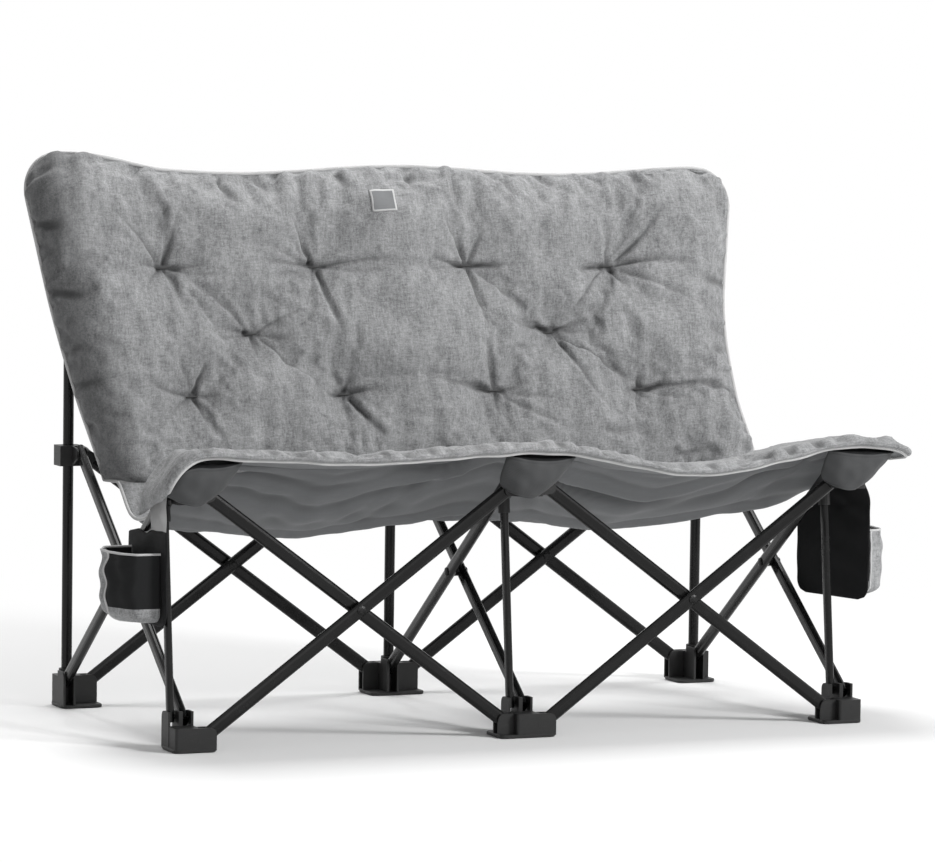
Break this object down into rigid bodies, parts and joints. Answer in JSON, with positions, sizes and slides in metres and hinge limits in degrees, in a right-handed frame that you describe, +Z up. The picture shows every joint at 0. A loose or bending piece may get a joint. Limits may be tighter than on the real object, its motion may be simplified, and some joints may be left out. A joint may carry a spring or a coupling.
{
  "type": "folding camping loveseat",
  "caption": "Padded folding camp loveseat with a tufted back, a sling seat and a crossed-tube frame that closes up like a scissor.",
  "frame": {"origin": "centre of the bounding box on the floor that the feet stand on", "axes": "+X to the right seen from the front, +Y to the back, +Z up"},
  "size_m": [1.4406, 0.7024, 0.962],
  "materials": {
    "black_tube": "semi-gloss black powder coat",
    "black_plastic": "moulded satin black",
    "rivet_steel": "plated rivet",
    "heather_cloth": "heathered mid-grey polyester",
    "lining_cloth": "plain dark grey polyester"
  },
  "bodies": {
    "rear_column_left": {"rear_foot_left": "black_plastic", "rear_post_left": "black_tube", "post_cap_left": "black_plastic", "post_sleeve_left": "lining_cloth"},
    "side_rear_leg_left": {"side_rear_leg_left": "black_tube", "side_rivet_left": "rivet_steel"},
    "side_front_leg_left": {"side_front_leg_left": "black_tube"},
    "slider_left": {"slider_left": "black_plastic"},
    "front_foot_left": {"front_foot_left": "black_plastic"},
    "top_joint_left": {"top_joint_left": "black_plastic", "front_pocket_left": "lining_cloth", "side_flap_left": "lining_cloth", "side_pouch_left": "lining_cloth"},
    "front_prop_left": {"front_prop_left": "black_tube", "prop_saddle_left": "black_plastic"},
    "rear_column_middle": {"rear_foot_middle": "black_plastic", "rear_post_middle": "black_tube", "post_cap_middle": "black_plastic", "post_sleeve_middle": "lining_cloth"},
    "side_rear_leg_middle": {"side_rear_leg_middle": "black_tube", "side_rivet_middle": "rivet_steel"},
    "side_front_leg_middle": {"side_front_leg_middle": "black_tube"},
    "slider_middle": {"slider_middle": "black_plastic"},
    "front_foot_middle": {"front_foot_middle": "black_plastic"},
    "top_joint_middle": {"top_joint_middle": "black_plastic", "front_pocket_middle": "lining_cloth", "seat_lip": "heather_cloth"},
    "front_prop_middle": {"front_prop_middle": "black_tube", "prop_saddle_middle": "black_plastic"},
    "rear_column_right": {"rear_foot_right": "black_plastic", "rear_post_right": "black_tube", "post_cap_right": "black_plastic", "post_sleeve_right": "lining_cloth"},
    "side_rear_leg_right": {"side_rear_leg_right": "black_tube", "side_rivet_right": "rivet_steel"},
    "side_front_leg_right": {"side_front_leg_right": "black_tube"},
    "slider_right": {"slider_right": "black_plastic"},
    "front_foot_right": {"front_foot_right": "black_plastic"},
    "top_joint_right": {"top_joint_right": "black_plastic", "front_pocket_right": "lining_cloth", "side_flap_right": "lining_cloth", "side_pouch_right": "lining_cloth"},
    "front_prop_right": {"front_prop_right": "black_tube", "prop_saddle_right": "black_plastic"},
    "front_left_tube_up_right": {"front_left_tube_up_right": "black_tube", "front_rivet_left": "rivet_steel"},
    "front_left_tube_up_left": {"front_left_tube_up_left": "black_tube"},
    "front_right_tube_up_right": {"front_right_tube_up_right": "black_tube", "front_rivet_right": "rivet_steel"},
    "front_right_tube_up_left": {"front_right_tube_up_left": "black_tube"},
    "rear_left_tube_up_right": {"rear_left_tube_up_right": "black_tube", "rear_rivet_left": "rivet_steel"},
    "rear_left_tube_up_left": {"rear_left_tube_up_left": "black_tube"},
    "rear_right_tube_up_right": {"rear_right_tube_up_right": "black_tube", "rear_rivet_right": "rivet_steel"},
    "rear_right_tube_up_left": {"rear_right_tube_up_left": "black_tube"},
    "seat": {"seat_sling": "heather_cloth"},
    "back": {"back_cushion": "heather_cloth"}
  },
  "joints": [
    {"name": "fold", "type": "hinge", "parent": "rear_column_middle", "child": "side_rear_leg_middle", "pos_m": [0, 0.29075, 0.054], "axis": [-1, 0, 0], "range_deg": [0, 46], "deforming": ["back_cushion", "seat_lip", "seat_sling"]},
    {"name": "rear_left_a", "type": "hinge", "parent": "rear_column_middle", "child": "rear_left_tube_up_left", "pos_m": [-0.04, 0.33075, 0.044], "axis": [0, 1, 0], "range_deg": [0, 46]},
    {"name": "rear_left_b", "type": "hinge", "parent": "rear_left_tube_up_left", "child": "rear_left_tube_up_right", "pos_m": [-0.31, 0.33075, 0.243], "axis": [0, -1, 0], "range_deg": [0, 92]},
    {"name": "rear_left_c", "type": "hinge", "parent": "rear_left_tube_up_right", "child": "rear_column_left", "pos_m": [-0.58, 0.33075, 0.044], "axis": [0, 1, 0], "range_deg": [0, 46]},
    {"name": "rear_right_a", "type": "hinge", "parent": "rear_column_middle", "child": "rear_right_tube_up_right", "pos_m": [0.04, 0.33075, 0.044], "axis": [0, -1, 0], "range_deg": [0, 46]},
    {"name": "rear_right_b", "type": "hinge", "parent": "rear_right_tube_up_right", "child": "rear_right_tube_up_left", "pos_m": [0.31, 0.33075, 0.243], "axis": [0, 1, 0], "range_deg": [0, 92]},
    {"name": "rear_right_c", "type": "hinge", "parent": "rear_right_tube_up_left", "child": "rear_column_right", "pos_m": [0.58, 0.33075, 0.044], "axis": [0, -1, 0], "range_deg": [0, 46]},
    {"name": "side_left_rear_foot", "type": "hinge", "parent": "rear_column_left", "child": "side_rear_leg_left", "pos_m": [-0.62, 0.29075, 0.054], "axis": [-1, 0, 0], "range_deg": [0, 46]},
    {"name": "side_left_crossing", "type": "hinge", "parent": "side_rear_leg_left", "child": "side_front_leg_left", "pos_m": [-0.62, 0.02075, 0.253], "axis": [1, 0, 0], "range_deg": [0, 92]},
    {"name": "side_left_front_foot", "type": "hinge", "parent": "side_front_leg_left", "child": "front_foot_left", "pos_m": [-0.62, -0.24925, 0.054], "axis": [-1, 0, 0], "range_deg": [0, 46]},
    {"name": "side_left_slider", "type": "hinge", "parent": "side_front_leg_left", "child": "slider_left", "pos_m": [-0.62, 0.29075, 0.452], "axis": [-1, 0, 0], "range_deg": [0, 46]},
    {"name": "side_left_top_joint", "type": "hinge", "parent": "side_rear_leg_left", "child": "top_joint_left", "pos_m": [-0.62, -0.24925, 0.452], "axis": [1, 0, 0], "range_deg": [0, 46]},
    {"name": "side_left_prop", "type": "hinge", "parent": "front_foot_left", "child": "front_prop_left", "pos_m": [-0.62, -0.24925, 0.054], "axis": [1, 0, 0], "range_deg": [0, 6.24]},
    {"name": "side_middle_crossing", "type": "hinge", "parent": "side_rear_leg_middle", "child": "side_front_leg_middle", "pos_m": [0, 0.02075, 0.253], "axis": [1, 0, 0], "range_deg": [0, 92]},
    {"name": "side_middle_front_foot", "type": "hinge", "parent": "side_front_leg_middle", "child": "front_foot_middle", "pos_m": [0, -0.24925, 0.054], "axis": [-1, 0, 0], "range_deg": [0, 46]},
    {"name": "side_middle_slider", "type": "hinge", "parent": "side_front_leg_middle", "child": "slider_middle", "pos_m": [0, 0.29075, 0.452], "axis": [-1, 0, 0], "range_deg": [0, 46]},
    {"name": "side_middle_top_joint", "type": "hinge", "parent": "side_rear_leg_middle", "child": "top_joint_middle", "pos_m": [0, -0.24925, 0.452], "axis": [1, 0, 0], "range_deg": [0, 46]},
    {"name": "side_middle_prop", "type": "hinge", "parent": "front_foot_middle", "child": "front_prop_middle", "pos_m": [0, -0.24925, 0.054], "axis": [1, 0, 0], "range_deg": [0, 6.24]},
    {"name": "side_right_rear_foot", "type": "hinge", "parent": "rear_column_right", "child": "side_rear_leg_right", "pos_m": [0.62, 0.29075, 0.054], "axis": [-1, 0, 0], "range_deg": [0, 46]},
    {"name": "side_right_crossing", "type": "hinge", "parent": "side_rear_leg_right", "child": "side_front_leg_right", "pos_m": [0.62, 0.02075, 0.253], "axis": [1, 0, 0], "range_deg": [0, 92]},
    {"name": "side_right_front_foot", "type": "hinge", "parent": "side_front_leg_right", "child": "front_foot_right", "pos_m": [0.62, -0.24925, 0.054], "axis": [-1, 0, 0], "range_deg": [0, 46]},
    {"name": "side_right_slider", "type": "hinge", "parent": "side_front_leg_right", "child": "slider_right", "pos_m": [0.62, 0.29075, 0.452], "axis": [-1, 0, 0], "range_deg": [0, 46]},
    {"name": "side_right_top_joint", "type": "hinge", "parent": "side_rear_leg_right", "child": "top_joint_right", "pos_m": [0.62, -0.24925, 0.452], "axis": [1, 0, 0], "range_deg": [0, 46]},
    {"name": "side_right_prop", "type": "hinge", "parent": "front_foot_right", "child": "front_prop_right", "pos_m": [0.62, -0.24925, 0.054], "axis": [1, 0, 0], "range_deg": [0, 6.24]},
    {"name": "front_left_rising", "type": "hinge", "parent": "front_foot_left", "child": "front_left_tube_up_right", "pos_m": [-0.58, -0.28925, 0.03], "axis": [0, -1, 0], "range_deg": [0, 46]},
    {"name": "front_left_falling", "type": "hinge", "parent": "front_foot_middle", "child": "front_left_tube_up_left", "pos_m": [-0.04, -0.28925, 0.03], "axis": [0, 1, 0], "range_deg": [0, 46]},
    {"name": "front_right_rising", "type": "hinge", "parent": "front_foot_middle", "child": "front_right_tube_up_right", "pos_m": [0.04, -0.28925, 0.03], "axis": [0, -1, 0], "range_deg": [0, 46]},
    {"name": "front_right_falling", "type": "hinge", "parent": "front_foot_right", "child": "front_right_tube_up_left", "pos_m": [0.58, -0.28925, 0.03], "axis": [0, 1, 0], "range_deg": [0, 46]},
    {"name": "seat_hang", "type": "hinge", "parent": "top_joint_middle", "child": "seat", "pos_m": [0, -0.19525, 0.497], "axis": [-1, 0, 0], "range_deg": [0, 77]},
    {"name": "back_hang", "type": "hinge", "parent": "rear_column_middle", "child": "back", "pos_m": [0, 0.33075, 0.928], "axis": [1, 0, 0], "range_deg": [0, 8]}
  ],
  "couplings": [
    {"joint": "rear_left_a", "follows": "fold", "ratio": 1},
    {"joint": "rear_left_b", "follows": "fold", "ratio": 2},
    {"joint": "rear_left_c", "follows": "fold", "ratio": 1},
    {"joint": "rear_right_a", "follows": "fold", "ratio": 1},
    {"joint": "rear_right_b", "follows": "fold", "ratio": 2},
    {"joint": "rear_right_c", "follows": "fold", "ratio": 1},
    {"joint": "side_left_rear_foot", "follows": "fold", "ratio": 1},
    {"joint": "side_left_crossing", "follows": "fold", "ratio": 2},
    {"joint": "side_left_front_foot", "follows": "fold", "ratio": 1},
    {"joint": "side_left_slider", "follows": "fold", "ratio": 1},
    {"joint": "side_left_top_joint", "follows": "fold", "ratio": 1},
    {"joint": "side_left_prop", "follows": "fold", "ratio": 0.13557},
    {"joint": "side_middle_crossing", "follows": "fold", "ratio": 2},
    {"joint": "side_middle_front_foot", "follows": "fold", "ratio": 1},
    {"joint": "side_middle_slider", "follows": "fold", "ratio": 1},
    {"joint": "side_middle_top_joint", "follows": "fold", "ratio": 1},
    {"joint": "side_middle_prop", "follows": "fold", "ratio": 0.13557},
    {"joint": "side_right_rear_foot", "follows": "fold", "ratio": 1},
    {"joint": "side_right_crossing", "follows": "fold", "ratio": 2},
    {"joint": "side_right_front_foot", "follows": "fold", "ratio": 1},
    {"joint": "side_right_slider", "follows": "fold", "ratio": 1},
    {"joint": "side_right_top_joint", "follows": "fold", "ratio": 1},
    {"joint": "side_right_prop", "follows": "fold", "ratio": 0.13557},
    {"joint": "front_left_rising", "follows": "fold", "ratio": 1},
    {"joint": "front_left_falling", "follows": "fold", "ratio": 1},
    {"joint": "front_right_rising", "follows": "fold", "ratio": 1},
    {"joint": "front_right_falling", "follows": "fold", "ratio": 1},
    {"joint": "seat_hang", "follows": "fold", "ratio": 1.6739},
    {"joint": "back_hang", "follows": "fold", "ratio": 0.17391}
  ]
}
